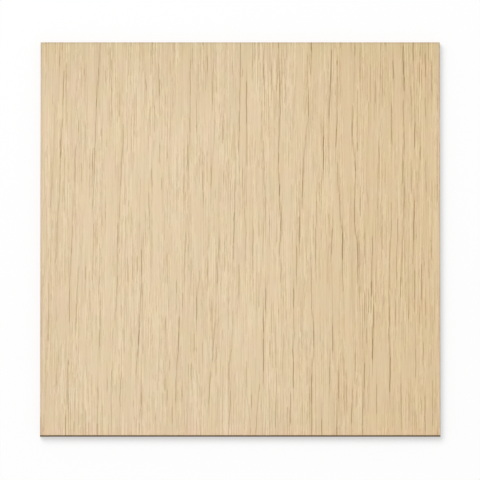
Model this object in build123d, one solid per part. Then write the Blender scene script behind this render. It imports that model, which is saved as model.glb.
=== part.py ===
from build123d import *

import os

# Wood-look rubber floor tile: one square slab of rubber, flat underneath, with its top edges eased.
# The origin is at the middle of the underside. +Z points up out of the wear face, and the wood grain runs along Y.

# Driving dimensions, in millimetres
TILE_WIDTH = 500.0
TILE_LENGTH = 500.0
TILE_THICKNESS = 10.0
TOP_EDGE_RADIUS = 0.5


def floor_tile():
    """The slab stands on Z = 0, and a small round runs along the four edges of its wear face."""
    slab = Box(
        TILE_WIDTH,
        TILE_LENGTH,
        TILE_THICKNESS,
        align=(Align.CENTER, Align.CENTER, Align.MIN),
    )
    wear_face = slab.faces().sort_by(Axis.Z)[-1]
    return fillet(wear_face.edges(), TOP_EDGE_RADIUS)


os.makedirs("parts", exist_ok=True)
export_step(floor_tile(), os.path.join("parts", "floor_tile.step"))
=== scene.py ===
from collections import namedtuple
from math import asin, cos, pi, radians, sin

import bpy
import numpy as np
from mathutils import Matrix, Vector


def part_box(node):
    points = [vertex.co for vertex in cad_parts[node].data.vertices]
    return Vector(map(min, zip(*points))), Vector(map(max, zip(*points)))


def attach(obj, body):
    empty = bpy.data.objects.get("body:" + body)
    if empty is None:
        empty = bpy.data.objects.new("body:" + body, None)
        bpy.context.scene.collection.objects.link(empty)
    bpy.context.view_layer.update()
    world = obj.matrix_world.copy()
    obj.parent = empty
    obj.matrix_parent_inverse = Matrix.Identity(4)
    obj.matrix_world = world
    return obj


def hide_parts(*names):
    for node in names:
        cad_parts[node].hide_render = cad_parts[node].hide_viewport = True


# Wood-look rubber floor tile: one grained slab of rubber on a pale floor, seen from above its front edge.

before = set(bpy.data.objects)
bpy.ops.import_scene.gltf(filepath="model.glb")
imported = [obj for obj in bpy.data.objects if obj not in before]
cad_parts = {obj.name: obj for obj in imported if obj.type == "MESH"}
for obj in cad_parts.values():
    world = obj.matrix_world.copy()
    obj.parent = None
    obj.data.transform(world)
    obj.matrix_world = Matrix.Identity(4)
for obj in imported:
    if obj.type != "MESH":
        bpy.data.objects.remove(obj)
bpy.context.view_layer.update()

MM = 0.001
TILE_LOW, TILE_HIGH = (np.array(corner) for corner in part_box("floor_tile"))
TILE_SIZE = TILE_HIGH - TILE_LOW
TOP_EDGE_RADIUS = 0.5 * MM

# Where the tile's face lies in the photograph, in pixels of its square frame
PHOTO_PIXELS = 480
FACE_CENTRE_PIXEL = (240.21, 238.42)
FACE_WIDTH_PIXELS = 399.75
FACE_HEIGHT_PIXELS = 393.1

# The mesh is finer across the grain than along it
GRAIN_COLUMNS = 470
GRAIN_ROWS = 190
TOP_EDGE_STEPS = 4
SHARP_ANGLE = radians(40)

# Relief of the wear face, engraved below its plane and fading out towards its edges
PORE_DEPTH = 0.10 * MM
FIBRE_DEPTH = 0.015 * MM
RELIEF_FADE = 3.0 * MM

# Tone of the wear face, from 0 for the darkest pore to 1 for the palest fibre, and how it falls at the edges
PLAIN_TONE = 0.874
RIM_WIDTH = 3.0 * MM
RIGHT_RIM_WIDTH = 1.3 * MM
RIM_SHADE = 0.19
LEFT_SHADE = 0.035
LEFT_SHADE_WIDTH = 60 * MM
BACK_SHADE = 0.070
BACK_SHADE_WIDTH = 130 * MM
FRONT_SHADE = 0.026
FRONT_SHADE_WIDTH = 80 * MM

# Pores: how much they darken the tone, how wide they are, and how they sway and end
PORE_TONE_LEFT = 0.84
PORE_TONE_RIGHT = 0.965
PORE_LIGHTENING = 0.07
PORE_HALF_WIDTH = 0.60 * MM
PORE_HOLLOW = 0.65 * MM
PORE_LAYERS = 3
PORE_REACH = 3.2 * MM
PORE_SHADE_REACH = 2.0 * MM
PORE_TAPER = 3.5 * MM
TAIL_REACH = 30.0 * MM
TAIL_STRENGTH = 0.65
TAIL_START = 0.25
PORE_WAVE = 0.22 * MM
PORE_WAVE_LENGTH = 31.0 * MM
PORE_PHASE = 900.0
PORE_CLAIM = 0.02

# Fibres as layers of strips, each with its width, length and strength in tone
FibreLayer = namedtuple("FibreLayer", "width length strength")
FIBRE_LAYERS = (
    FibreLayer(2.6 * MM, 110 * MM, 0.010),
    FibreLayer(5.5 * MM, 140 * MM, 0.015),
    FibreLayer(22 * MM, 240 * MM, 0.007),
)
STRAIGHT_WIDTH = 3 * MM

# Hairs, the finest strips, drawn by the material: how many to a metre, how much their widths differ,
# and the share of a run in which its tone changes to the next one
HAIRS_PER_METRE = 1500.0
HAIR_UNEVENNESS = 0.9
HAIR_UNEVEN_PER_METRE = 600.0
HAIR_CHANGE = 0.08

# Runs of the hairs, with their length, their strength in tone and the bend that keeps most of them faint
HairRun = namedtuple("HairRun", "length strength bend")
HAIR_RUNS = (
    HairRun(8 * MM, 0.070, 0.0),
    HairRun(40 * MM, 0.150, 1.0),
)

# Furrows among the hairs, each with a dark side and a pale side, and patches where both are strong or faint
FURROWS_PER_METRE = 420.0
FURROW_RUN = HairRun(45 * MM, 0.12, 0.5)
HAIR_PATCHES_PER_METRE = (70.0, 8.0, 1.0)
HAIR_PATCH_STRENGTH = (0.31, 1.73)

# Lean of the grain, sideways for each length along it, at places across the tile from left to right
LEAN_PLACES = np.array((-250, -120, 20, 70, 115, 150, 250)) * MM
LEAN_VALUES = np.array((0.030, 0.036, 0.034, 0.050, -0.022, 0.000, 0.008))

# Slow waves of the grain, with their reach, length along the tile, length across it and phase
DriftWave = namedtuple("DriftWave", "reach along across phase")
DRIFT_WAVES = (
    DriftWave(0.9 * MM, 210 * MM, -600 * MM, 2.1),
    DriftWave(0.35 * MM, 83 * MM, 210 * MM, 4.0),
)

# Faint threads that join the clear pores of one grain line, and weaken with the gap that they cross
THREAD_REACH = 90 * MM
THREAD_OVERLAP = 6 * MM
THREAD_LEAN = 0.12
THREAD_DARKNESS = 0.37

# Faint pores drawn at random, in rows that follow the grain
FAINT_PORE_ROWS = 47
FAINT_PORES_IN_ROW = 7
FAINT_PORE_LENGTH = (15 * MM, 80 * MM)
FAINT_PORE_DARKNESS = (0.05, 0.22)
FAINT_PORE_JITTER = 1.6 * MM
GRAIN_SEED = 1835

# The clearest pores: top end and bottom end in the photograph's pixels, and darkness
Pore = namedtuple("Pore", "x_top y_top x_bottom y_bottom darkness")
LEFT_PORES = (
    (62.0, 43, 62.0, 52, 0.5), (59.5, 54, 59.5, 67, 0.65), (63.8, 69, 62.7, 107, 0.65),
    (62.5, 117, 62.2, 129, 0.6), (60.6, 138, 60.5, 159, 0.75), (59.9, 172, 59.7, 196, 0.5),
    (57.5, 218, 57.0, 228, 0.45), (56.4, 233, 56.4, 249, 0.4), (55.6, 253, 55.4, 264, 0.55),
    (78.5, 120, 78.4, 134, 0.5), (74.6, 156, 74.6, 183, 0.45), (72.2, 223, 72.4, 239, 0.5),
    (71.5, 246, 71.2, 256, 0.6), (70.3, 266, 69.6, 287, 0.45), (69.5, 288, 69.3, 324, 0.65),
    (68.4, 359, 68.3, 366, 0.9), (67.9, 366, 67.6, 405, 0.55), (78.3, 266, 77.6, 290, 0.5),
    (77.0, 293, 76.6, 325, 0.6), (75.4, 376, 75.3, 390, 0.45), (74.3, 420, 74.3, 433, 0.65),
    (85.6, 265, 85.5, 281, 0.6), (84.4, 67, 84.4, 76, 0.45), (99.9, 42, 99.9, 51, 0.5),
    (98.5, 67, 98.5, 77, 0.75), (97.7, 79, 97.5, 88, 0.5), (96.4, 97, 96.4, 108, 0.75),
    (95.6, 119, 95.3, 145, 0.65), (94.6, 146, 94.2, 184, 0.65), (92.8, 197, 92.6, 209, 0.55),
    (101.6, 127, 101.4, 138, 0.5), (93.4, 222, 92.8, 259, 0.4), (105.5, 210, 105.5, 221, 0.45),
    (99.5, 274, 98.8, 297, 0.55), (100.2, 308, 99.9, 328, 0.65), (99.9, 328, 99.7, 348, 0.75),
    (97.9, 386, 98.3, 401, 0.75), (97.8, 403, 97.6, 424, 0.6), (97.6, 422, 97.5, 436, 0.95),
    (107.4, 377, 107.3, 392, 0.5), (123.4, 123, 123.0, 147, 0.4), (122.5, 147, 121.6, 160, 0.55),
    (121.3, 159, 120.6, 188, 0.65), (119.9, 196, 119.5, 221, 0.5), (117.8, 223, 117.7, 250, 0.5),
    (117.7, 251, 117.4, 275, 0.55), (117.3, 274, 116.9, 297, 0.65), (116.6, 296, 116.0, 313, 0.45),
    (137.4, 255, 137.3, 273, 0.65), (141.4, 248, 141.6, 277, 0.75), (141.2, 282, 140.0, 313, 0.6),
    (139.5, 313, 139.2, 330, 0.8), (139.3, 328, 138.4, 347, 1.0), (138.3, 346, 137.0, 359, 0.65),
    (136.8, 359, 136.2, 376, 0.6), (121.3, 370, 120.8, 392, 0.6), (119.7, 394, 120.6, 408, 0.5),
    (141.5, 391, 141.5, 407, 0.7), (139.2, 223, 139.2, 227, 0.7), (133.9, 129, 133.6, 136, 0.65),
    (145.5, 78, 146.0, 91, 0.7), (159.5, 78, 159.5, 97, 0.7), (154.5, 104, 154.3, 133, 0.55),
    (159.5, 143, 159.4, 164, 0.45), (166.9, 151, 166.9, 161, 0.5), (151.6, 167, 152.0, 188, 0.65),
    (161.2, 177, 161.6, 191, 0.5), (148.7, 191, 149.4, 217, 0.6), (149.3, 225, 149.0, 230, 0.65),
    (166.7, 249, 166.6, 267, 0.3), (176.5, 279, 176.3, 295, 0.45), (165.6, 315, 165.2, 331, 0.45),
    (156.4, 304, 156.4, 313, 0.45), (172.4, 405, 172.2, 425, 0.65), (167.5, 388, 167.4, 401, 0.55),
    (169.6, 359, 169.2, 372, 0.45), (161.5, 367, 161.3, 376, 0.4),
)
MIDDLE_PORES = (
    (182.6, 291, 182.6, 308, 0.6), (179.6, 315, 179.2, 330, 0.65), (178.8, 330, 178.4, 353, 0.8),
    (177.8, 352, 176.8, 373, 0.55), (176.2, 377, 175.6, 403, 0.6), (190.0, 69, 190.3, 97, 0.55),
    (189.9, 116, 189.9, 134, 0.6), (188.3, 159, 188.0, 173, 0.6), (187.9, 172, 187.6, 191, 0.5),
    (185.5, 191, 185.3, 201, 0.65), (185.6, 231, 185.4, 253, 0.6), (184.6, 252, 184.2, 285, 0.5),
    (207.2, 55, 207.2, 73, 0.6), (213.9, 58, 213.9, 63, 0.6), (212.0, 79, 212.5, 104, 0.55),
    (211.2, 165, 211.0, 188, 0.6), (222.7, 119, 222.5, 145, 0.45), (202.6, 171, 202.7, 191, 0.5),
    (207.4, 267, 207.4, 293, 0.5), (217.2, 261, 217.3, 285, 0.55), (219.4, 237, 219.3, 251, 0.5),
    (199.4, 269, 199.4, 283, 0.45), (196.8, 295, 196.6, 321, 0.8), (214.9, 321, 213.0, 353, 0.6),
    (210.8, 369, 208.8, 405, 0.65), (202.7, 341, 202.8, 365, 0.5), (191.4, 361, 191.3, 381, 0.5),
    (199.4, 383, 199.3, 392, 0.45),
    (240.5, 42, 240.3, 79, 0.55), (239.9, 88, 239.9, 107, 0.6), (239.5, 109, 239.3, 133, 0.7),
    (238.8, 139, 238.6, 153, 0.6), (246.5, 80, 246.5, 125, 0.75), (246.4, 124, 246.3, 167, 0.4),
    (242.6, 167, 242.3, 190, 0.55), (234.8, 179, 234.5, 213, 0.55), (234.5, 211, 234.0, 222, 1.0),
    (234.2, 220, 233.5, 245, 0.75), (233.4, 244, 233.4, 261, 0.65), (244.8, 207, 244.6, 217, 0.45),
    (246.0, 229, 244.9, 263, 0.5), (253.4, 227, 252.6, 257, 0.5), (239.0, 263, 239.0, 297, 0.6),
    (233.0, 309, 232.8, 327, 0.5), (231.7, 347, 229.8, 363, 0.45), (229.4, 365, 229.3, 381, 0.5),
    (230.4, 389, 230.5, 409, 0.6), (228.6, 419, 228.5, 436, 0.5), (263.4, 139, 263.4, 150, 0.35),
    (264.2, 163, 264.2, 185, 0.45), (265.5, 195, 265.4, 217, 0.5), (278.5, 41, 278.5, 49, 0.75),
    (278.5, 61, 279.0, 76, 0.4), (279.5, 80, 280.2, 116, 0.6), (279.4, 117, 278.8, 151, 0.6),
    (278.6, 151, 278.5, 165, 0.8), (278.3, 165, 278.6, 183, 0.5), (279.5, 183, 279.4, 197, 1.0),
    (279.4, 196, 279.3, 211, 0.55), (281.0, 211, 280.8, 233, 0.8), (280.2, 232, 279.2, 258, 0.6),
    (281.2, 260, 280.6, 284, 0.55), (265.6, 287, 265.6, 312, 0.8), (263.3, 316, 263.4, 334, 0.75),
    (263.4, 337, 263.5, 373, 0.85), (263.4, 372, 262.9, 385, 0.5), (259.4, 383, 258.8, 393, 0.6),
    (258.7, 393, 257.4, 412, 0.45), (256.5, 414, 255.8, 436, 0.55), (251.5, 393, 251.4, 409, 0.6),
    (246.4, 359, 246.3, 390, 0.45), (250.7, 426, 250.7, 436, 0.5), (278.6, 309, 278.6, 314, 0.65),
    (276.4, 369, 276.6, 387, 0.45), (275.6, 403, 275.4, 429, 0.5),
)
RIGHT_PORES = (
    (311.4, 41, 311.4, 52, 1.0), (309.9, 52, 310.4, 76, 0.55), (307.6, 69, 307.6, 87, 0.4),
    (308.4, 93, 308.6, 118, 0.75), (306.0, 133, 305.8, 142, 0.6), (303.9, 155, 303.7, 175, 0.55),
    (302.6, 179, 302.2, 199, 0.75), (302.2, 198, 302.2, 209, 0.5), (299.5, 215, 299.4, 244, 0.85),
    (296.7, 245, 296.5, 279, 0.65), (296.7, 278, 296.5, 287, 0.45), (293.6, 287, 293.4, 309, 0.8),
    (293.3, 309, 293.5, 327, 0.45), (294.4, 331, 294.0, 341, 0.55), (292.6, 347, 293.4, 361, 0.8),
    (293.4, 359, 293.3, 389, 0.85), (290.4, 392, 290.3, 425, 0.55), (316.2, 198, 316.3, 224, 0.45),
    (315.7, 226, 315.6, 263, 0.7), (311.4, 267, 311.5, 311, 0.5), (313.4, 319, 313.6, 331, 0.6),
    (313.5, 328, 313.9, 349, 0.7), (311.4, 373, 311.3, 405, 0.7), (311.6, 407, 311.3, 436, 0.6),
    (331.8, 48, 329.3, 118, 0.8), (337.4, 59, 337.5, 66, 0.95), (337.2, 109, 337.2, 127, 0.5),
    (336.6, 126, 335.8, 148, 0.85), (323.5, 135, 323.4, 171, 0.95), (321.5, 179, 321.2, 195, 0.55),
    (337.6, 161, 338.4, 193, 0.5), (339.6, 193, 340.3, 223, 0.6), (341.6, 224, 342.4, 233, 0.6),
    (342.5, 231, 342.5, 261, 0.95), (342.5, 261, 343.2, 293, 0.55), (332.6, 227, 332.0, 241, 0.8),
    (331.7, 239, 331.6, 256, 0.75), (332.5, 324, 332.5, 353, 0.75), (330.0, 360, 329.9, 365, 0.65),
    (329.6, 365, 329.5, 386, 0.7), (338.7, 369, 338.5, 399, 0.55), (321.5, 418, 321.7, 436, 0.7),
    (336.6, 425, 336.5, 436, 0.75), (354.8, 43, 355.0, 57, 0.55), (353.0, 104, 353.2, 121, 0.55),
    (352.4, 120, 352.2, 138, 0.95), (352.5, 137, 353.3, 147, 0.5), (355.2, 159, 355.5, 173, 0.95),
    (355.6, 171, 355.0, 197, 0.7), (354.7, 197, 354.5, 225, 0.75), (354.8, 223, 356.6, 241, 0.6),
    (357.7, 241, 357.6, 263, 0.75), (357.8, 261, 357.6, 285, 0.5), (358.6, 283, 359.4, 299, 0.25),
    (370.7, 63, 370.7, 104, 0.35), (375.5, 79, 375.7, 104, 0.55), (372.4, 235, 372.4, 257, 0.7),
    (371.6, 259, 371.4, 283, 0.5), (371.5, 279, 371.4, 298, 0.8), (373.6, 303, 373.4, 329, 0.8),
    (372.6, 337, 372.4, 361, 0.9), (355.5, 352, 355.3, 373, 0.6), (364.5, 362, 364.0, 390, 0.75),
    (352.4, 387, 352.2, 401, 0.55), (351.8, 401, 351.3, 425, 0.75), (376.4, 383, 376.3, 415, 0.6),
    (363.6, 391, 363.4, 409, 0.45), (379.4, 146, 379.4, 162, 0.55), (378.1, 198, 378.1, 202, 0.65),
    (377.9, 205, 378.0, 209, 0.65), (367.5, 191, 367.5, 205, 0.3), (362.5, 427, 362.4, 436, 0.5),
    (393.3, 59, 393.6, 80, 0.75), (403.4, 44, 403.4, 76, 0.95), (404.6, 75, 404.6, 92, 0.7),
    (413.5, 41, 413.5, 61, 0.75), (425.6, 52, 425.8, 78, 0.65), (431.7, 59, 431.8, 93, 0.55),
    (391.5, 101, 391.6, 141, 0.6), (411.3, 84, 411.5, 107, 0.4), (403.5, 99, 403.4, 128, 0.55),
    (415.3, 121, 414.6, 149, 0.8), (404.3, 130, 404.2, 151, 0.65), (420.6, 145, 420.5, 161, 0.6),
    (437.4, 136, 437.4, 145, 0.5), (403.3, 159, 403.1, 185, 0.75), (411.2, 173, 411.6, 195, 0.4),
    (425.8, 159, 426.2, 193, 0.5), (437.3, 183, 437.4, 203, 0.55), (414.6, 199, 414.4, 211, 0.8),
    (414.2, 209, 413.8, 242, 0.95), (413.6, 241, 413.4, 257, 0.35), (391.1, 201, 391.0, 212, 0.5),
    (391.4, 218, 391.3, 233, 0.55), (390.3, 239, 389.4, 263, 0.65), (389.4, 261, 389.3, 291, 0.6),
    (388.9, 292, 389.4, 305, 0.6), (389.7, 305, 389.5, 328, 0.85), (388.5, 327, 388.7, 345, 0.65),
    (388.9, 345, 389.2, 357, 0.45), (390.1, 355, 389.6, 393, 0.95), (397.8, 217, 397.5, 244, 0.6),
    (396.5, 254, 396.5, 281, 0.55), (402.4, 235, 402.0, 263, 0.55), (400.6, 275, 400.5, 299, 0.6),
    (421.5, 263, 421.4, 301, 0.75), (414.6, 269, 414.4, 301, 0.55), (425.4, 299, 425.6, 317, 0.55),
    (415.6, 347, 415.4, 379, 0.5), (423.0, 341, 422.8, 367, 0.55), (400.8, 383, 401.5, 431, 0.5),
    (424.6, 395, 424.8, 433, 0.6), (432.3, 379, 432.5, 413, 0.4),
)

# Weaker pores between them, from the front edge to the back, so that no thread joins them
WEAK_PORES = (
    (131.4, 430, 131.4, 436, 0.5), (129.5, 431, 129.5, 436, 0.4), (437.4, 431, 437.4, 434, 0.6),
    (419.4, 427, 419.5, 433, 0.45), (139.4, 421, 139.3, 434, 0.6), (155.4, 414, 155.4, 421, 0.45),
    (432.4, 411, 432.5, 427, 0.5), (134.6, 415, 134.6, 421, 0.4), (140.5, 406, 140.4, 414, 0.4),
    (133.5, 399, 133.5, 408, 0.45), (421.4, 398, 421.5, 412, 0.3), (435.2, 396, 435.4, 414, 0.3),
    (188.4, 362, 188.3, 378, 0.4), (213.0, 352, 212.5, 363, 0.65), (196.6, 346, 196.6, 353, 0.5),
    (216.4, 344, 216.4, 361, 0.3), (132.4, 338, 132.4, 348, 0.35), (194.5, 332, 194.5, 352, 0.5),
    (222.5, 328, 222.5, 341, 0.35), (124.3, 328, 124.2, 353, 0.5), (366.4, 327, 366.3, 345, 0.45),
    (113.2, 328, 112.4, 341, 0.35), (205.2, 327, 205.2, 342, 0.3), (425.9, 317, 425.7, 330, 0.45),
    (408.6, 311, 408.6, 321, 0.45), (114.9, 311, 115.0, 321, 0.4), (121.5, 304, 121.4, 318, 0.5),
    (419.4, 304, 419.3, 324, 0.55), (430.8, 303, 430.8, 330, 0.3), (414.4, 301, 414.3, 313, 0.4),
    (434.5, 300, 434.4, 323, 0.2), (395.4, 299, 395.4, 328, 0.55), (371.4, 298, 371.4, 312, 0.5),
    (126.6, 284, 126.4, 316, 0.3), (428.6, 267, 428.6, 280, 0.35), (419.4, 267, 419.4, 280, 0.35),
    (424.4, 260, 424.4, 268, 0.35), (412.8, 256, 412.6, 265, 0.4), (127.4, 256, 127.2, 283, 0.5),
    (431.6, 247, 431.6, 261, 0.55), (421.6, 247, 421.6, 252, 0.35), (430.5, 239, 430.5, 242, 0.5),
    (416.5, 233, 416.5, 245, 0.45), (203.4, 191, 203.4, 204, 0.4), (220.1, 191, 220.1, 204, 0.35),
    (215.3, 188, 215.3, 200, 0.35), (118.4, 164, 118.4, 184, 0.2), (223.4, 163, 223.4, 185, 0.3),
    (81.5, 162, 81.4, 184, 0.4), (228.3, 157, 227.7, 180, 0.4), (83.4, 156, 83.4, 171, 0.3),
    (115.5, 148, 115.5, 180, 0.2), (92.5, 147, 92.4, 171, 0.5), (89.7, 147, 89.5, 170, 0.35),
    (106.5, 138, 106.5, 148, 0.35), (100.6, 138, 100.6, 148, 0.35), (425.4, 96, 425.6, 118, 0.5),
    (437.5, 95, 437.5, 112, 0.45), (205.6, 68, 205.4, 92, 0.35), (242.5, 67, 242.5, 78, 0.4),
    (271.5, 62, 271.5, 84, 0.35), (263.5, 62, 263.5, 80, 0.5), (419.5, 60, 419.5, 84, 0.45),
    (232.6, 59, 232.6, 76, 0.35), (190.4, 58, 190.3, 71, 0.5), (192.4, 47, 192.4, 64, 0.45),
    (420.6, 45, 420.6, 56, 0.4), (264.3, 43, 263.9, 62, 0.35),
)


def swatch(red, green, blue):
    """Linear colour of a swatch that is given in display levels from 0 to 255."""
    levels = np.array((red, green, blue)) / 255
    linear = np.where(levels <= 0.04045, levels / 12.92, ((levels + 0.055) / 1.055) ** 2.4)
    return (*linear.tolist(), 1.0)


# Colours of the wear face: its tones from dark to pale, and tints for its sides, its rim and small patches.
# A turn is the stretch of the tile, in metres, over which a tint sets in.
WHITE = (1.0, 1.0, 1.0, 1.0)
WOOD_TONES = (
    (0.0, swatch(146, 114, 60)),
    (0.6, swatch(215, 187, 147)),
    (1.0, swatch(243, 220, 183)),
)
LEFT_TINT = (1.01, 1.02, 1.05, 1.0)
RIGHT_TINT = (0.962, 0.937, 0.885, 1.0)
TINT_TURN = (-0.05, 0.25)
BACK_TINT = (0.965, 0.995, 0.955, 1.0)
BACK_TURN = (0.225, 0.246)
FRONT_TINT = (1.030, 0.990, 1.0, 1.0)
FRONT_TURN = (-0.236, -0.249)
RIM_TINT = (0.99, 1.01, 1.14, 1.0)
PINK_TINT = (1.009, 0.992, 1.0, 1.0)
GREEN_TINT = (0.991, 1.008, 1.0, 1.0)
YELLOW_TINT = (1.0, 1.0, 0.967, 1.0)
CREAM_TINT = (1.0, 1.0, 1.009, 1.0)
HUE_PATCHES_PER_METRE = (42.0, 28.0, 1.0)
HUE_SHIFT = (13.0, 7.0, 0.0)

# Soft noise, the surface of the wear face and the cut rubber of the edges and the underside
NOISE_RANGE = (0.35, 0.65)
NOISE_DETAIL = 2.0
RIDGES_PER_METRE = (1500.0, 45.0, 1.0)
FACE_FLECKS_PER_METRE = 900.0
FACE_ROUGHNESS = (0.60, 0.74)
FACE_BUMP = 0.03 * MM
CUT_RUBBER_PALE = swatch(160, 125, 76)
CUT_RUBBER_DARK = swatch(131, 96, 49)
CUT_FLECKS_PER_METRE = 900.0
CUT_MARKS_PER_METRE = (12.0, 12.0, 1400.0)
CUT_MARK_SHARE = 0.5
CUT_ROUGHNESS = (0.72, 0.86)
CUT_BUMP = 0.10 * MM
FLECK_DETAIL = 4.0
FLECK_FINENESS = 0.6
FLECK_RANGE = (0.40, 0.62)
RUBBER_SPECULAR = 0.3

# Camera, light and floor
CAMERA_ELEVATION = asin(FACE_HEIGHT_PIXELS / FACE_WIDTH_PIXELS)
CAMERA_LENS = 1500.0
CAMERA_SENSOR = 36.0
CAMERA_CLIP = (1.0, 60.0)
KEY_DIRECTION = Vector((-0.38, 0.56, 1.0)).normalized()
KEY_DISTANCE = 20.0
KEY_SIZE = 14.0
KEY_LEVEL = 0.70
SKY_LEVEL = 0.30
FLOOR_GREY = (0.5, 0.5, 0.5, 1.0)
FLOOR_WHITENESS = 0.54
FLOOR_SIZE = 16.0
FLOOR_DROP = 0.2 * MM


def smooth_step(share):
    """Share from 0 to 1, eased at both ends by the cubic 3s^2 - 2s^3."""
    share = np.clip(share, 0.0, 1.0)
    return share * share * (3.0 - 2.0 * share)


def tile_place(pixel_x, pixel_y):
    """Place on the tile, in metres, of a photograph's pixel: its offset from the face's middle, to scale."""
    x = (pixel_x - FACE_CENTRE_PIXEL[0]) * TILE_SIZE[0] / FACE_WIDTH_PIXELS
    y = (FACE_CENTRE_PIXEL[1] - pixel_y) * TILE_SIZE[1] / FACE_HEIGHT_PIXELS
    return x, y


def grain_drift(x, y):
    """Sideways drift of the grain: its lean times the place along the tile, and slow slanted sine waves."""
    drift = np.interp(x, LEAN_PLACES, LEAN_VALUES) * y
    for wave in DRIFT_WAVES:
        drift += wave.reach * np.sin(2 * pi * (y / wave.along + x / wave.across) + wave.phase)
    return drift


def strip_tones(across, along, width, length, draw):
    """Random tone of long strips, scaled to a spread of one.

    The face is cut into strips of one width. Each strip has random values one length apart, shifted by a
    random start, and the tone eases between the four values that lie nearest.
    """
    place = across / width
    strip = np.floor(place).astype(int)
    side = smooth_step(place - strip)
    strip -= strip.min()
    values = draw.uniform(-1, 1, (strip.max() + 2, int(np.ptp(along) / length) + 4))
    starts = draw.uniform(0, 1, strip.max() + 2)

    def tone_in(index):
        step = (along - along.min()) / length + starts[index]
        cell = np.floor(step).astype(int)
        part = smooth_step(step - cell)
        return values[index, cell] * (1 - part) + values[index, cell + 1] * part

    tones = tone_in(strip) * (1 - side) + tone_in(strip + 1) * side
    return tones / tones.std()


def draw_pore(layers, x, y, ends, darkness):
    """Add one pore to the layer of the face that is emptiest around it.

    The pore is a line that eases sideways from one end to the other and sways a little as a sine wave
    between them. At both ends it fades, and a dark one fades into a tail that dies away along the grain.
    Points near it take its darkness and their offset from it, unless another pore of the layer is closer.
    """
    (x_top, y_top), (x_bottom, y_bottom) = ends
    x_low, x_high = min(x_top, x_bottom) - PORE_REACH, max(x_top, x_bottom) + PORE_REACH
    rows = slice(*np.searchsorted(y[:, 0], (y_bottom - TAIL_REACH, y_top + TAIL_REACH)))
    columns = slice(*np.searchsorted(x[0], (x_low, x_high)))
    x, y = x[rows, columns], y[rows, columns]
    emptiest = layers[0][:, rows, columns].sum(axis=(1, 2)).argmin()
    near, offset, shade = (values[emptiest, rows, columns] for values in layers)

    share = np.clip((y_top - y) / (y_top - y_bottom), 0.0, 1.0)
    sway = PORE_WAVE * np.sin(2 * pi * y / PORE_WAVE_LENGTH + PORE_PHASE * x_top) * np.sin(pi * share)
    own_offset = x - x_top - (x_bottom - x_top) * smooth_step(share) - sway
    taper = min(PORE_TAPER, 0.5 * (y_top - y_bottom))
    body = smooth_step((y_top - y) / taper) * smooth_step((y - y_bottom) / taper)
    tail = 1 - smooth_step(np.maximum(y - y_top, y_bottom - y) / TAIL_REACH)
    tail_darkness = TAIL_STRENGTH * max(darkness - TAIL_START, 0.0)
    own_shade = (darkness - tail_darkness) * body + tail_darkness * tail
    own_near = np.exp(-((own_offset / PORE_REACH) ** 2)) * (own_shade + PORE_CLAIM)
    closer = own_near > near
    near[closer] = own_near[closer]
    offset[closer] = own_offset[closer]
    shade[closer] = (own_shade * (np.abs(own_offset) < PORE_SHADE_REACH))[closer]


def clear_pores():
    """The listed pores, as two ends and a darkness, and faint threads to the next pore of a line."""
    last_x, last_y = TILE_LOW[:2]
    for pore in map(Pore._make, LEFT_PORES + MIDDLE_PORES + RIGHT_PORES + WEAK_PORES):
        top = tile_place(pore.x_top, pore.y_top)
        bottom = tile_place(pore.x_bottom, pore.y_bottom)
        gap = last_y - top[1]
        length = gap + 2 * THREAD_OVERLAP
        if -PORE_TAPER < gap < THREAD_REACH and abs(top[0] - last_x) < THREAD_LEAN * length:
            thread_top = last_x, last_y + THREAD_OVERLAP
            thread_bottom = top[0], top[1] - THREAD_OVERLAP
            yield (thread_top, thread_bottom), THREAD_DARKNESS * (1 - max(gap, 0.0) / THREAD_REACH)
        last_x, last_y = bottom
        yield (top, bottom), pore.darkness - PORE_LIGHTENING


def faint_pores(draw):
    """Short faint pores: rows spread across the tile, with pores at random places along each row's grain."""
    for row in range(FAINT_PORE_ROWS):
        row_x = TILE_LOW[0] + TILE_SIZE[0] * (row + draw.uniform(0, 1)) / FAINT_PORE_ROWS
        for _ in range(FAINT_PORES_IN_ROW):
            y_top = draw.uniform(TILE_LOW[1], TILE_HIGH[1])
            y_bottom = y_top - draw.uniform(*FAINT_PORE_LENGTH)
            x = row_x + draw.normal(0, FAINT_PORE_JITTER)
            x_top = x + grain_drift(x, np.array(y_top))
            x_bottom = x + grain_drift(x, np.array(y_bottom))
            yield ((x_top, y_top), (x_bottom, y_bottom)), draw.uniform(*FAINT_PORE_DARKNESS)


def pore_layers(x, y, draw):
    """Layers of offsets from the nearest pore and of its darkness, with the pores dealt out to them.

    Neighbours across the grain that lie beside one pore have offsets that differ by just their distance.
    Where that fails, two pores meet, and both neighbours lose their darkness, as no line runs between them.
    """
    near = np.zeros((PORE_LAYERS, *x.shape))
    offset = np.full_like(near, PORE_REACH)
    shade = np.zeros_like(near)
    for ends, darkness in (*clear_pores(), *faint_pores(draw)):
        draw_pore((near, offset, shade), x, y, ends, darkness)
    broken = ~np.isclose(np.diff(offset), np.diff(x))
    shade[..., 1:][broken] = 0.0
    shade[..., :-1][broken] = 0.0
    return offset, shade * np.interp(x, (x.min(), x.max()), (PORE_TONE_LEFT, PORE_TONE_RIGHT))


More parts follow.
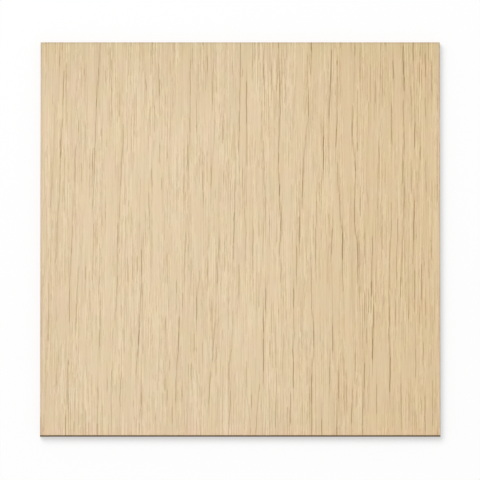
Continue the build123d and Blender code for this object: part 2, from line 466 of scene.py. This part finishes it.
def grain_of_face(x, y):
    """Tone, share of rim, pore offsets, pore darkness and depth of the wear face.

    Fibres are layers of random strips: narrow ones run straight, and wide ones follow the grain's drift.
    The tone sways with the fibres, falls slowly towards the left, the back and the front, and falls again at
    the rim on the left, the back and the right. The depth follows the fibres and a bell curve across each
    pore, and fades out towards the edges.
    """
    draw = np.random.default_rng(GRAIN_SEED)
    drift = grain_drift(x, y)
    fibres = np.zeros_like(x)
    for layer in FIBRE_LAYERS:
        across = x - drift * (layer.width > STRAIGHT_WIDTH)
        fibres += layer.strength * strip_tones(across, y, layer.width, layer.length, draw)
    offset, shade = pore_layers(x, y, draw)
    from_left, from_right = x - x.min(), x.max() - x
    from_front, from_back = y - y.min(), y.max() - y
    from_edge = np.minimum.reduce((from_left, from_right, from_front, from_back))
    rim_place = np.minimum(np.minimum(from_left, from_back) / RIM_WIDTH, from_right / RIGHT_RIM_WIDTH)
    rim = 1 - smooth_step(rim_place)
    left_shade = LEFT_SHADE * (1 - smooth_step(from_left / LEFT_SHADE_WIDTH))
    back_shade = BACK_SHADE * (1 - smooth_step(from_back / BACK_SHADE_WIDTH))
    front_shade = FRONT_SHADE * (1 - smooth_step(from_front / FRONT_SHADE_WIDTH))
    tone = PLAIN_TONE + fibres - RIM_SHADE * rim - left_shade - back_shade - front_shade
    pore_hollow = (shade * np.exp(-((offset / PORE_HOLLOW) ** 2))).max(axis=0)
    fibre_hollow = (fibres.max() - fibres) / np.ptp(fibres)
    depth = (PORE_DEPTH * pore_hollow + FIBRE_DEPTH * fibre_hollow) * smooth_step(from_edge / RELIEF_FADE)
    return tone, rim, offset, shade, depth


def grid_faces(rows, columns):
    """Quads of a grid whose points are numbered row by row, turned to face up."""
    corner = np.arange(rows)[:, None] * (columns + 1) + np.arange(columns)
    quads = (corner, corner + 1, corner + columns + 2, corner + columns + 1)
    return np.stack(quads, axis=-1).reshape(-1, 4)


def strip_faces(upper, lower):
    """Quads between two closed loops of points, the lower one outside or below the upper one."""
    quads = (upper, lower, np.roll(lower, -1), np.roll(upper, -1))
    return np.stack(quads, axis=-1)


def tile_mesh():
    """The tile as one closed surface.

    The wear face is a grid lowered by its relief. From its rim, rings follow a quarter circle out and down
    round the eased top edge, one more ring ends the straight wall, and a fan closes the underside.
    """
    line_x = np.linspace(TILE_LOW[0] + TOP_EDGE_RADIUS, TILE_HIGH[0] - TOP_EDGE_RADIUS, GRAIN_COLUMNS + 1)
    front, back = TILE_LOW[1] + TOP_EDGE_RADIUS, TILE_HIGH[1] - TOP_EDGE_RADIUS
    inner_rows = np.linspace(front + RIM_WIDTH, back - RIM_WIDTH, GRAIN_ROWS - 1)
    line_y = np.concatenate(([front], inner_rows, [back]))
    x, y = np.meshgrid(line_x, line_y)
    tone, rim_share, offset, shade, depth = grain_of_face(x, y)
    face_points = np.stack((x, y, TILE_HIGH[2] - depth), axis=-1).reshape(-1, 3)

    number = np.arange(x.size).reshape(x.shape)
    rim = np.concatenate((number[0, :-1], number[:-1, -1], number[-1, :0:-1], number[:0:-1, 0]))
    rim_points = face_points[rim]
    outward = np.zeros_like(rim_points)
    outward[:, 0] = np.sign(rim_points[:, 0]) * np.isclose(np.abs(rim_points[:, 0]), line_x[-1])
    outward[:, 1] = np.sign(rim_points[:, 1]) * np.isclose(np.abs(rim_points[:, 1]), line_y[-1])

    rings = []
    for angle in np.linspace(0, pi / 2, TOP_EDGE_STEPS + 1)[1:]:
        ring = rim_points + outward * TOP_EDGE_RADIUS * sin(angle)
        ring[:, 2] = TILE_HIGH[2] - TOP_EDGE_RADIUS * (1 - cos(angle))
        rings.append(ring)
    foot = rings[-1].copy()
    foot[:, 2] = TILE_LOW[2]
    middle = np.array(((0.0, 0.0, TILE_LOW[2]),))
    points = np.concatenate((face_points, *rings, foot, middle))

    loops = [rim]
    for ring_number in range(TOP_EDGE_STEPS + 1):
        loops.append(x.size + ring_number * rim.size + np.arange(rim.size))
    top = [grid_faces(GRAIN_ROWS, GRAIN_COLUMNS)]
    for upper, lower in zip(loops[:-2], loops[1:-1]):
        top.append(strip_faces(upper, lower))
    top = np.concatenate(top)
    wall = strip_faces(loops[-2], loops[-1])
    fan = np.stack((loops[-1], np.full(rim.size, len(points) - 1), np.roll(loops[-1], -1)), axis=-1)

    mesh = bpy.data.meshes.new("floor_tile_grained")
    mesh.from_pydata(points.tolist(), [], top.tolist() + wall.tolist() + fan.tolist())
    cut_faces = np.arange(len(mesh.polygons)) >= len(top)
    mesh.polygons.foreach_set("material_index", cut_faces.astype(np.int32))
    mesh.shade_smooth()
    mesh.set_sharp_from_angle(angle=SHARP_ANGLE)

    repeated = np.concatenate((np.arange(x.size), np.tile(rim, TOP_EDGE_STEPS + 1), [0]))
    for name, values in {"tone": tone, "rim": rim_share}.items():
        mesh.attributes.new(name, "FLOAT", "POINT").data.foreach_set("value", values.ravel()[repeated])
    for name, layers in {"pore_offsets": offset / PORE_HALF_WIDTH, "pore_shades": shade}.items():
        vectors = layers.reshape(PORE_LAYERS, -1).T[repeated]
        mesh.attributes.new(name, "FLOAT_VECTOR", "POINT").data.foreach_set("vector", vectors.ravel())
    return mesh


def add_node(tree, kind, inputs=(), **settings):
    """A node with its settings, and its inputs filled by a value or joined to another node's output."""
    node = tree.nodes.new(kind)
    for name, value in settings.items():
        setattr(node, name, value)
    for socket, value in inputs:
        if isinstance(value, bpy.types.NodeSocket):
            tree.links.new(value, node.inputs[socket])
        else:
            node.inputs[socket].default_value = value
    return node


def add_math(tree, operation, first, second):
    """The result of one sum on two values, or on the first alone where the sum needs only one."""
    return add_node(tree, "ShaderNodeMath", ((0, first), (1, second)), operation=operation).outputs[0]


def add_mix(tree, factor, first, second, blend="MIX"):
    """Two colours mixed by a factor."""
    inputs = ((0, factor), (6, first), (7, second))
    return add_node(tree, "ShaderNodeMix", inputs, data_type="RGBA", blend_type=blend).outputs[2]


def add_ramp(tree, place, stops):
    """The colour at a place on a ramp, whose stops are places and colours from first to last."""
    node = add_node(tree, "ShaderNodeValToRGB", ((0, place),))
    elements = node.color_ramp.elements
    for _ in stops[2:]:
        elements.new(0.5)
    for element, (position, colour) in zip(elements, stops):
        element.position = position
        element.color = colour
    return node.outputs["Color"]


def add_attribute(tree, name):
    """A value that the mesh carries at its points."""
    return add_node(tree, "ShaderNodeAttribute", attribute_name=name).outputs["Fac"]


def add_attribute_layers(tree, name):
    """The three values of a vector that the mesh carries at its points."""
    vector = add_node(tree, "ShaderNodeAttribute", attribute_name=name).outputs["Vector"]
    return add_node(tree, "ShaderNodeSeparateXYZ", (("Vector", vector),)).outputs


def add_pores(tree):
    """Darkness of the pores: the bell curve exp(-d^2) of each layer's offset d, and the darkest of them."""
    darkest = 0.0
    offsets = add_attribute_layers(tree, "pore_offsets")
    shades = add_attribute_layers(tree, "pore_shades")
    for offset, shade in zip(offsets, shades):
        fall = add_math(tree, "MULTIPLY", add_math(tree, "MULTIPLY", offset, offset), -1.0)
        pore = add_math(tree, "MULTIPLY", add_math(tree, "EXPONENT", fall, 0.0), shade)
        darkest = add_math(tree, "MAXIMUM", darkest, pore)
    return darkest


def add_flat_noise(tree, place):
    """Soft noise in two directions, about one wave for each unit of its place."""
    inputs = (("Vector", place), ("Scale", 1.0), ("Detail", NOISE_DETAIL))
    return add_node(tree, "ShaderNodeTexNoise", inputs, noise_dimensions="2D").outputs[0]


def add_scaled_place(tree, place, scale, shift=(0.0, 0.0, 0.0)):
    """A place stretched by its own factor along each axis, and then shifted."""
    inputs = (("Vector", place), ("Location", shift), ("Scale", scale))
    return add_node(tree, "ShaderNodeMapping", inputs).outputs[0]


def add_range(tree, value, source, target=(0.0, 1.0), easing="LINEAR"):
    """A value moved from one range to another, and kept inside it."""
    inputs = (
        ("Value", value),
        ("From Min", source[0]),
        ("From Max", source[1]),
        ("To Min", target[0]),
        ("To Max", target[1]),
    )
    return add_node(tree, "ShaderNodeMapRange", inputs, interpolation_type=easing).outputs[0]


def add_patches(tree, place, target=(0.0, 1.0)):
    """Soft patches over a range, where noise goes from one end of its usual range to the other."""
    return add_range(tree, add_flat_noise(tree, place), NOISE_RANGE, target)


def add_random(tree, first, second):
    """A random value from 0 to 1 for each pair of numbers."""
    pair = add_node(tree, "ShaderNodeCombineXYZ", (("X", first), ("Y", second))).outputs[0]
    return add_node(tree, "ShaderNodeTexWhiteNoise", (("Vector", pair),), noise_dimensions="2D").outputs[0]


def add_strip_count(tree, across, per_metre):
    """Count of fine strips up to a place across the grain: place times density, shifted by soft noise."""
    inputs = (("W", across), ("Scale", HAIR_UNEVEN_PER_METRE), ("Detail", 0.0))
    uneven = add_node(tree, "ShaderNodeTexNoise", inputs, noise_dimensions="1D").outputs[0]
    shift = add_math(tree, "MULTIPLY", uneven, HAIR_UNEVENNESS)
    return add_math(tree, "ADD", add_math(tree, "MULTIPLY", across, per_metre), shift)


def add_hair_runs(tree, strip_count, along, hair_run):
    """Tone of fine strips, from minus to plus the strength of their runs.

    Each strip is cut into runs of one length from a random start. A run has a random tone t from -1 to 1,
    which eases to the next run's tone in the last share of its length. It is bent to t times |t| to the
    power of the run's bend, so that few strips stand out.
    """
    strip = add_math(tree, "FLOOR", strip_count, 0.0)
    start = add_random(tree, strip, hair_run.length)
    step = add_math(tree, "ADD", add_math(tree, "DIVIDE", along, hair_run.length), start)
    run = add_math(tree, "FLOOR", step, 0.0)
    next_run = add_math(tree, "ADD", run, 1.0)
    share = add_math(tree, "SUBTRACT", step, run)
    change = add_range(tree, share, (1.0 - HAIR_CHANGE, 1.0), easing="SMOOTHSTEP")
    tones = (add_random(tree, strip, run), add_random(tree, strip, next_run))
    mixed = add_node(tree, "ShaderNodeMix", ((0, change), (2, tones[0]), (3, tones[1]))).outputs[0]
    tone = add_range(tree, mixed, (0.0, 1.0), (-1.0, 1.0))
    bent = add_math(tree, "POWER", add_math(tree, "ABSOLUTE", tone, 0.0), hair_run.bend)
    return add_math(tree, "MULTIPLY", add_math(tree, "MULTIPLY", tone, bent), hair_run.strength)


def add_hairs(tree, across, along):
    """Tone of the hairs and furrows: runs of hairs, and runs of wider strips times a sine wave across."""
    furrow_count = add_strip_count(tree, across, FURROWS_PER_METRE)
    furrow_side = add_math(tree, "SINE", add_math(tree, "MULTIPLY", furrow_count, 2 * pi), 0.0)
    tone = add_math(tree, "MULTIPLY", add_hair_runs(tree, furrow_count, along, FURROW_RUN), furrow_side)
    hair_count = add_strip_count(tree, across, HAIRS_PER_METRE)
    for hair_run in HAIR_RUNS:
        tone = add_math(tree, "ADD", tone, add_hair_runs(tree, hair_count, along, hair_run))
    return tone


def rubber_fleck_group():
    """Fine fleck of moulded rubber: soft noise of a given size, as a mask from 0 to 1 and as a height."""
    group = bpy.data.node_groups.new("rubber_fleck", "ShaderNodeTree")
    group.interface.new_socket("Place", in_out="INPUT", socket_type="NodeSocketVector")
    group.interface.new_socket("Flecks per metre", in_out="INPUT", socket_type="NodeSocketFloat")
    group.interface.new_socket("Fleck", in_out="OUTPUT", socket_type="NodeSocketFloat")
    group.interface.new_socket("Height", in_out="OUTPUT", socket_type="NodeSocketFloat")
    entry = group.nodes.new("NodeGroupInput")
    inputs = (
        ("Vector", entry.outputs["Place"]),
        ("Scale", entry.outputs["Flecks per metre"]),
        ("Detail", FLECK_DETAIL),
        ("Roughness", FLECK_FINENESS),
    )
    fine = add_node(group, "ShaderNodeTexNoise", inputs).outputs[0]
    exit_node = group.nodes.new("NodeGroupOutput")
    group.links.new(add_range(group, fine, FLECK_RANGE, easing="SMOOTHSTEP"), exit_node.inputs["Fleck"])
    group.links.new(fine, exit_node.inputs["Height"])
    return group


def add_fleck(tree, group, place, flecks_per_metre):
    """The fleck of moulded rubber in a material, at its own fineness."""
    inputs = (("Place", place), ("Flecks per metre", flecks_per_metre))
    node = add_node(tree, "ShaderNodeGroup", inputs, node_tree=group)
    return node.outputs["Fleck"], node.outputs["Height"]


def new_material(name):
    """An empty node material and its Principled shader."""
    material = bpy.data.materials.new(name)
    material.use_nodes = True
    tree = material.node_tree
    tree.nodes.clear()
    shader = tree.nodes.new("ShaderNodeBsdfPrincipled")
    output = tree.nodes.new("ShaderNodeOutputMaterial")
    tree.links.new(shader.outputs[0], output.inputs["Surface"])
    return material, tree, shader


def wood_look_face(fleck_group):
    """Matte pale oak print: the tone of the grain from pore brown to pale fibre, warmer to the right."""
    material, tree, shader = new_material("wood_look_face")
    place = add_node(tree, "ShaderNodeTexCoord").outputs["Object"]
    across, along, _ = add_node(tree, "ShaderNodeSeparateXYZ", (("Vector", place),)).outputs

    pores = add_pores(tree)
    hair_place = add_scaled_place(tree, place, HAIR_PATCHES_PER_METRE)
    hair_strength = add_patches(tree, hair_place, HAIR_PATCH_STRENGTH)
    hair_strength = add_math(tree, "MULTIPLY", hair_strength, add_math(tree, "SUBTRACT", 1.0, pores))
    hairs = add_math(tree, "MULTIPLY", add_hairs(tree, across, along), hair_strength)
    tone = add_math(tree, "ADD", add_math(tree, "SUBTRACT", add_attribute(tree, "tone"), pores), hairs)
    wood = add_ramp(tree, tone, WOOD_TONES)

    pink_place = add_scaled_place(tree, place, HUE_PATCHES_PER_METRE)
    yellow_place = add_scaled_place(tree, place, HUE_PATCHES_PER_METRE, HUE_SHIFT)
    to_right = add_range(tree, across, TINT_TURN, easing="SMOOTHSTEP")
    side_tint = add_mix(tree, to_right, LEFT_TINT, RIGHT_TINT)
    pink_tint = add_mix(tree, add_patches(tree, pink_place), PINK_TINT, GREEN_TINT)
    yellow_tint = add_mix(tree, add_patches(tree, yellow_place), YELLOW_TINT, CREAM_TINT)
    back_tint = add_mix(tree, add_range(tree, along, BACK_TURN), WHITE, BACK_TINT)
    front_tint = add_mix(tree, add_range(tree, along, FRONT_TURN), WHITE, FRONT_TINT)
    rim_tint = add_mix(tree, add_attribute(tree, "rim"), WHITE, RIM_TINT)
    for tint in (side_tint, pink_tint, yellow_tint, back_tint, front_tint, rim_tint):
        wood = add_mix(tree, 1.0, wood, tint, "MULTIPLY")
    tree.links.new(wood, shader.inputs["Base Color"])

    fleck, fleck_height = add_fleck(tree, fleck_group, place, FACE_FLECKS_PER_METRE)
    tree.links.new(add_range(tree, fleck, (0.0, 1.0), FACE_ROUGHNESS), shader.inputs["Roughness"])
    ridges = add_flat_noise(tree, add_scaled_place(tree, place, RIDGES_PER_METRE))
    relief = add_math(tree, "ADD", ridges, fleck_height)
    bump = add_node(tree, "ShaderNodeBump", (("Height", relief), ("Distance", FACE_BUMP)))
    tree.links.new(bump.outputs[0], shader.inputs["Normal"])
    shader.inputs["Specular IOR Level"].default_value = RUBBER_SPECULAR
    return material


def cut_rubber(fleck_group):
    """Plain brown rubber of the cut edges and the underside, with flecks and faint level cutting marks."""
    material, tree, shader = new_material("cut_rubber")
    place = add_node(tree, "ShaderNodeTexCoord").outputs["Object"]
    fleck, fleck_height = add_fleck(tree, fleck_group, place, CUT_FLECKS_PER_METRE)
    mark_place = add_scaled_place(tree, place, CUT_MARKS_PER_METRE)
    mark_inputs = (("Vector", mark_place), ("Scale", 1.0), ("Detail", NOISE_DETAIL))
    marks = add_node(tree, "ShaderNodeTexNoise", mark_inputs).outputs[0]
    mark_tone = add_range(tree, marks, NOISE_RANGE)
    shade = add_node(tree, "ShaderNodeMix", ((0, CUT_MARK_SHARE), (2, fleck), (3, mark_tone))).outputs[0]
    tree.links.new(add_mix(tree, shade, CUT_RUBBER_DARK, CUT_RUBBER_PALE), shader.inputs["Base Color"])
    tree.links.new(add_range(tree, fleck, (0.0, 1.0), CUT_ROUGHNESS), shader.inputs["Roughness"])
    relief = add_math(tree, "ADD", fleck_height, marks)
    bump = add_node(tree, "ShaderNodeBump", (("Height", relief), ("Distance", CUT_BUMP)))
    tree.links.new(bump.outputs[0], shader.inputs["Normal"])
    shader.inputs["Specular IOR Level"].default_value = RUBBER_SPECULAR
    return material


def make_tile():
    """The tile's finished piece, which stands for the plain slab of the frame."""
    mesh = tile_mesh()
    fleck_group = rubber_fleck_group()
    mesh.materials.append(wood_look_face(fleck_group))
    mesh.materials.append(cut_rubber(fleck_group))
    tile = bpy.data.objects.new("floor_tile_grained", mesh)
    bpy.context.scene.collection.objects.link(tile)
    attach(tile, "root")
    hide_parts("floor_tile")


def make_floor():
    """A pale floor that looks white to the camera and in reflections, and keeps the tile's shadow."""
    material = bpy.data.materials.new("pale_floor")
    material.use_nodes = True
    tree = material.node_tree
    tree.nodes.clear()
    matte = add_node(tree, "ShaderNodeBsdfDiffuse", (("Color", FLOOR_GREY),))
    path = tree.nodes.new("ShaderNodeLightPath")
    seen = add_math(tree, "MAXIMUM", path.outputs["Is Camera Ray"], path.outputs["Is Glossy Ray"])
    seen = add_math(tree, "MAXIMUM", seen, path.outputs["Is Transmission Ray"])
    strength = add_math(tree, "MULTIPLY", seen, FLOOR_WHITENESS)
    glow = add_node(tree, "ShaderNodeEmission", (("Color", WHITE), ("Strength", strength)))
    both = add_node(tree, "ShaderNodeAddShader", ((0, matte.outputs[0]), (1, glow.outputs[0])))
    output = tree.nodes.new("ShaderNodeOutputMaterial")
    tree.links.new(both.outputs[0], output.inputs["Surface"])

    half = FLOOR_SIZE / 2
    level = TILE_LOW[2] - FLOOR_DROP
    corners = [(-half, -half, level), (half, -half, level), (half, half, level), (-half, half, level)]
    mesh = bpy.data.meshes.new("floor")
    mesh.from_pydata(corners, [], [(0, 1, 2, 3)])
    mesh.materials.append(material)
    floor = bpy.data.objects.new("floor", mesh)
    bpy.context.scene.collection.objects.link(floor)


def make_light():
    """A large soft lamp from the upper left and an even white sky, which together fully light the face."""
    power = KEY_LEVEL * pi**2 * KEY_DISTANCE**2 / KEY_DIRECTION.z
    lamp = bpy.data.lights.new("key", "AREA")
    lamp.energy = power
    lamp.size = KEY_SIZE
    key = bpy.data.objects.new("key", lamp)
    key.location = KEY_DIRECTION * KEY_DISTANCE
    key.rotation_euler = KEY_DIRECTION.to_track_quat("Z", "Y").to_euler()
    key.visible_camera = False
    bpy.context.scene.collection.objects.link(key)

    world = bpy.data.worlds.new("studio")
    world.use_nodes = True
    tree = world.node_tree
    tree.nodes.clear()
    path = tree.nodes.new("ShaderNodeLightPath")
    seen = add_math(tree, "MAXIMUM", path.outputs["Is Camera Ray"], path.outputs["Is Transmission Ray"])
    strength = add_node(
        tree,
        "ShaderNodeMapRange",
        (("Value", seen), ("To Min", SKY_LEVEL), ("To Max", 1.0)),
    ).outputs[0]
    sky = add_node(tree, "ShaderNodeBackground", (("Color", WHITE), ("Strength", strength)))
    output = tree.nodes.new("ShaderNodeOutputWorld")
    tree.links.new(sky.outputs[0], output.inputs["Surface"])
    bpy.context.scene.world = world


def make_camera():
    """A long-lens camera above the front edge, framed so that the face lies where the photograph has it."""
    metres_per_pixel = TILE_SIZE[0] / FACE_WIDTH_PIXELS
    distance = metres_per_pixel * PHOTO_PIXELS * CAMERA_LENS / CAMERA_SENSOR
    back = Vector((0.0, -cos(CAMERA_ELEVATION), sin(CAMERA_ELEVATION)))
    right = Vector((1.0, 0.0, 0.0))
    up = back.cross(right)
    face_centre = Vector((0.0, 0.0, TILE_HIGH[2]))
    to_right = (PHOTO_PIXELS / 2 - FACE_CENTRE_PIXEL[0]) * metres_per_pixel
    to_top = (FACE_CENTRE_PIXEL[1] - PHOTO_PIXELS / 2) * metres_per_pixel
    aim = face_centre + right * to_right + up * to_top

    lens = bpy.data.cameras.new("camera")
    lens.lens = CAMERA_LENS
    lens.sensor_width = CAMERA_SENSOR
    lens.clip_start, lens.clip_end = CAMERA_CLIP
    camera = bpy.data.objects.new("camera", lens)
    camera.location = aim + back * distance
    camera.rotation_euler = back.to_track_quat("Z", "Y").to_euler()
    bpy.context.scene.collection.objects.link(camera)
    bpy.context.scene.camera = camera


make_tile()
make_floor()
make_light()
make_camera()
bpy.context.scene.view_settings.view_transform = "Standard"
